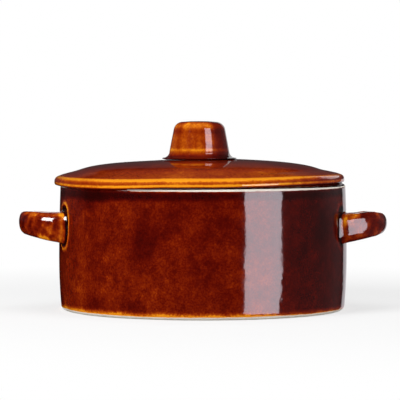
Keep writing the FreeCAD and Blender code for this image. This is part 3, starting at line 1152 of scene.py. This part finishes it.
def studio_world(stage):
    """White behind the pot for the camera, soft light all round, and the dark studio in the glaze."""
    world = bpy.data.worlds.new("studio")
    bpy.context.scene.world = world
    nodes = Nodes(world)
    heading = nodes.add("SeparateXYZ", {0: nodes.add("TexCoord").outputs["Generated"]})
    east, north, up = heading.outputs
    bearing = nodes.maths("ARCTAN2", east, north)

    def window(value, low, high, soft):
        opens = nodes.spread(value, low - soft, low + soft)
        shuts = nodes.spread(value, high - soft, high + soft, 1.0, 0.0)
        return nodes.maths("MULTIPLY", opens, shuts)

    mirrored = STUDIO_DARK
    for bearings, heights, brightness in STUDIO_WALLS:
        wall = nodes.maths("MULTIPLY", window(bearing, *bearings), window(up, *heights))
        mirrored = nodes.maths("MULTIPLY_ADD", wall, brightness, mirrored)
    mirrored = nodes.maths("MULTIPLY_ADD", nodes.spread(up, 0.35, 0.60), STUDIO_CEILING, mirrored)

    path = nodes.add("LightPath")
    ambient = nodes.add("Background", {"Color": (1.0, 1.0, 1.0, 1.0), "Strength": stage.ambient})
    glossy = nodes.add("Background", {"Color": (1.0, 0.96, 1.0, 1.0), "Strength": mirrored})
    white = nodes.add("Background", {"Color": (1.0, 1.0, 1.0, 1.0), "Strength": 1.0})
    glossy_ray = path.outputs["Is Glossy Ray"]
    bounced = nodes.add("MixShader", {0: glossy_ray, 1: ambient.outputs[0], 2: glossy.outputs[0]})
    seen = nodes.maths("MAXIMUM", path.outputs["Is Camera Ray"], path.outputs["Is Transmission Ray"])
    shader = nodes.add("MixShader", {0: seen, 1: bounced.outputs[0], 2: white.outputs[0]})
    nodes.add("OutputWorld", {"Surface": shader.outputs[0]})


def area_lamp(name, place, target, size, power, mirrored):
    """A rectangular lamp that faces a point. It either lights the pot or only shows in its glaze."""
    lamp = bpy.data.lights.new(name, "AREA")
    lamp.shape = "RECTANGLE"
    lamp.size, lamp.size_y = size
    lamp.energy = power
    holder = bpy.data.objects.new(name, lamp)
    bpy.context.scene.collection.objects.link(holder)
    holder.location = place
    holder.rotation_euler = (Vector(target) - Vector(place)).to_track_quat("-Z", "Y").to_euler()
    holder.visible_camera = False
    holder.visible_glossy = mirrored
    holder.visible_diffuse = not mirrored
    holder.visible_transmission = False
    return holder


def lighting_lamp(name, place, width, light, distance):
    """A square lamp that lights the pot from a distance. Light is what a surface facing it gets."""
    area_lamp(name, place, LIT_MIDDLE, (width, width), light * math.pi**2 * distance**2, False)


def mirrored_lamp(name, place, target, size, brightness, pieces):
    """A lamp that only shows in the glaze of some pieces."""
    power = brightness * math.pi * size[0] * size[1]
    holder = area_lamp(name, place, target, size, power, True)
    reached = bpy.data.collections.new(f"{name}_reaches")
    for piece in pieces:
        reached.objects.link(bpy.data.objects[piece])
    holder.light_linking.receiver_collection = reached
    return holder


def around_pot(turn, height, distance):
    """A place round the pot: degrees to the right of the camera, height and distance from the axis."""
    return (math.sin(math.radians(turn)) * distance, -math.cos(math.radians(turn)) * distance, height)


def studio_lamps(stage):
    """A key light at the left, a fill light at the right and one overhead, and the strip box."""
    distance = 1.5
    key_height = LIT_MIDDLE[2] + distance * math.sin(math.radians(32))
    lighting_lamp("key_light", around_pot(-42, key_height, distance), 0.7, stage.key, distance)
    distance = 1.4
    lighting_lamp("overhead_light", (0.0, -0.1, distance), 1.0, stage.overhead, distance)
    distance = 1.3
    lighting_lamp("fill_light", around_pot(62, 0.34, distance), 0.6, stage.fill, distance)
    for name, turn, foot, top, width, pieces in STRIPS:
        middle = (foot + top) / 2
        place = around_pot(turn, middle, STRIP_DISTANCE)
        strip = mirrored_lamp(name, place, (0.0, 0.0, middle), (width, top - foot), stage.strip, pieces)
        strip.data.color = STRIP_COLOUR


def small_lamps(stage, handles):
    """Cards behind the pot that show in the glaze of one piece each, and a bright window at the left."""
    mirrored_lamp(
        "tall_card",
        place=around_pot(144, 0.60, 1.2),
        target=(0.0, 0.0, 0.11),
        size=(0.83, 0.44),
        brightness=stage.lid_card,
        pieces=("glazed_lid",),
    )
    mirrored_lamp(
        "knob_card",
        place=around_pot(162, 0.33, 1.2),
        target=(0.0, 0.0, 0.13),
        size=(0.62, 0.54),
        brightness=stage.knob_card,
        pieces=("glazed_knob",),
    )
    tip = handles.centre + handles.reach
    for name, side in (("right", 1), ("left", -1)):
        x, y, z = side * (tip - 0.012), handles.half_width + 0.012, handles.top + 0.008
        mirrored_lamp(
            f"card_{name}",
            place=(x, y, z),
            target=(x, y - 1.0, z),
            size=(0.044, 0.020),
            brightness=stage.card,
            pieces=(f"glazed_handle_{name}",),
        )
    mirrored_lamp(
        "window",
        place=around_pot(-60, 0.51, 1.15),
        target=(-0.12, 0.0, 0.07),
        size=(0.40, 0.38),
        brightness=stage.window,
        pieces=("glazed_handle_left", "glazed_pot"),
    )


def studio_camera(stage):
    """The camera at the photograph's place."""
    lens = bpy.data.cameras.new("camera")
    lens.sensor_width = 36.0
    lens.lens = stage.focal_length
    lens.clip_end = 100.0
    camera = bpy.data.objects.new("camera", lens)
    bpy.context.scene.collection.objects.link(camera)
    camera.location = (stage.camera_side, -stage.camera_distance, stage.camera_height)
    camera.rotation_euler = (math.pi / 2 - stage.camera_pitch, 0.0, 0.0)
    bpy.context.scene.camera = camera


class BEANPOT_OT_stage(bpy.types.Operator):
    """Adds the pale floor, the studio's light and the camera"""

    bl_idname = "bean_pot.add_stage"
    bl_label = "Add Stage"

    def execute(self, context):
        stage = context.scene.bean_pot.stage
        pale_floor(stage)
        studio_world(stage)
        studio_lamps(stage)
        small_lamps(stage, context.scene.bean_pot.handles)
        studio_camera(stage)
        context.scene.view_settings.view_transform = "Standard"
        return {"FINISHED"}


OPERATORS = (BEANPOT_OT_pot, BEANPOT_OT_handles, BEANPOT_OT_lid, BEANPOT_OT_knob, BEANPOT_OT_stage)


class BEANPOT_PT_panel(bpy.types.Panel):
    """Lists the pieces of the bean pot"""

    bl_idname = "BEANPOT_PT_panel"
    bl_label = "Bean Pot"
    bl_space_type = "VIEW_3D"
    bl_region_type = "UI"
    bl_category = "Bean Pot"

    def draw(self, context):
        for operator in OPERATORS:
            self.layout.operator(operator.bl_idname)


CLASSES = (
    GlazeSettings,
    PotSettings,
    HandleSettings,
    LidSettings,
    KnobSettings,
    StageSettings,
    BeanPotSettings,
    *OPERATORS,
    BEANPOT_PT_panel,
)


def register():
    for each in CLASSES:
        bpy.utils.register_class(each)
    bpy.types.Scene.bean_pot = bpy.props.PointerProperty(type=BeanPotSettings)


def unregister():
    del bpy.types.Scene.bean_pot
    for each in reversed(CLASSES):
        bpy.utils.unregister_class(each)


def main():
    register()
    bpy.ops.bean_pot.add_pot()
    bpy.ops.bean_pot.add_handles()
    bpy.ops.bean_pot.add_lid()
    bpy.ops.bean_pot.add_knob()
    bpy.ops.bean_pot.add_stage()


if __name__ == "__main__":
    main()
